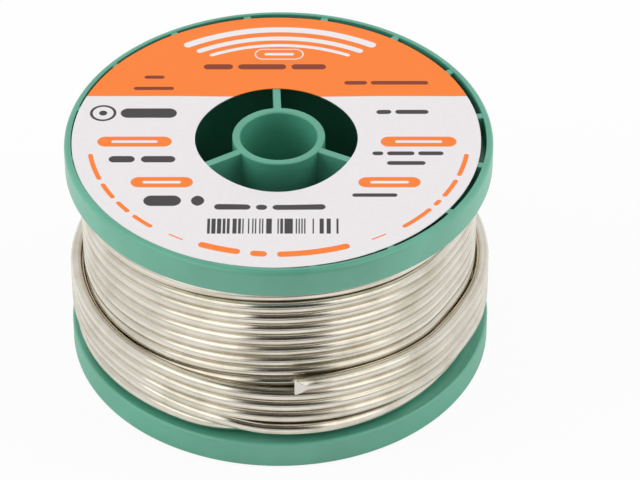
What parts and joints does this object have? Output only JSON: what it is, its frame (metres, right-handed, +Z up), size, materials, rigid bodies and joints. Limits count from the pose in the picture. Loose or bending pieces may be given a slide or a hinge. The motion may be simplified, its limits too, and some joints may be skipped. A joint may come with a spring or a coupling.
{
  "type": "solder wire spool",
  "caption": "Flanged plastic reel of solder wire with a ribbed hub bore, a round paper face label and a loose wire end.",
  "frame": {"origin": "centre of the ring-shaped face the reel stands on", "axes": "+Z up the reel's axis towards the labelled flange, -Y towards the side where the wire was cut"},
  "size_m": [0.063, 0.063, 0.0372],
  "materials": {
    "reel_plastic": "satin moulded",
    "label_paper": "coated, printed",
    "solder": "drawn, softly shiny",
    "flux": "resinous"
  },
  "bodies": {
    "reel": {"bottom_half": "reel_plastic", "top_half": "reel_plastic", "face_label": "label_paper", "inner_layers": "solder", "outer_turns": "solder"},
    "loose_end": {"wire_tail": "solder", "flux_core": "flux"}
  },
  "joints": [
    {"name": "tail_lift", "type": "hinge", "parent": "reel", "child": "loose_end", "pos_m": [0.0157, -0.02719, 0.01525], "axis": [0, 0, 1], "range_deg": [0, 60]}
  ]
}
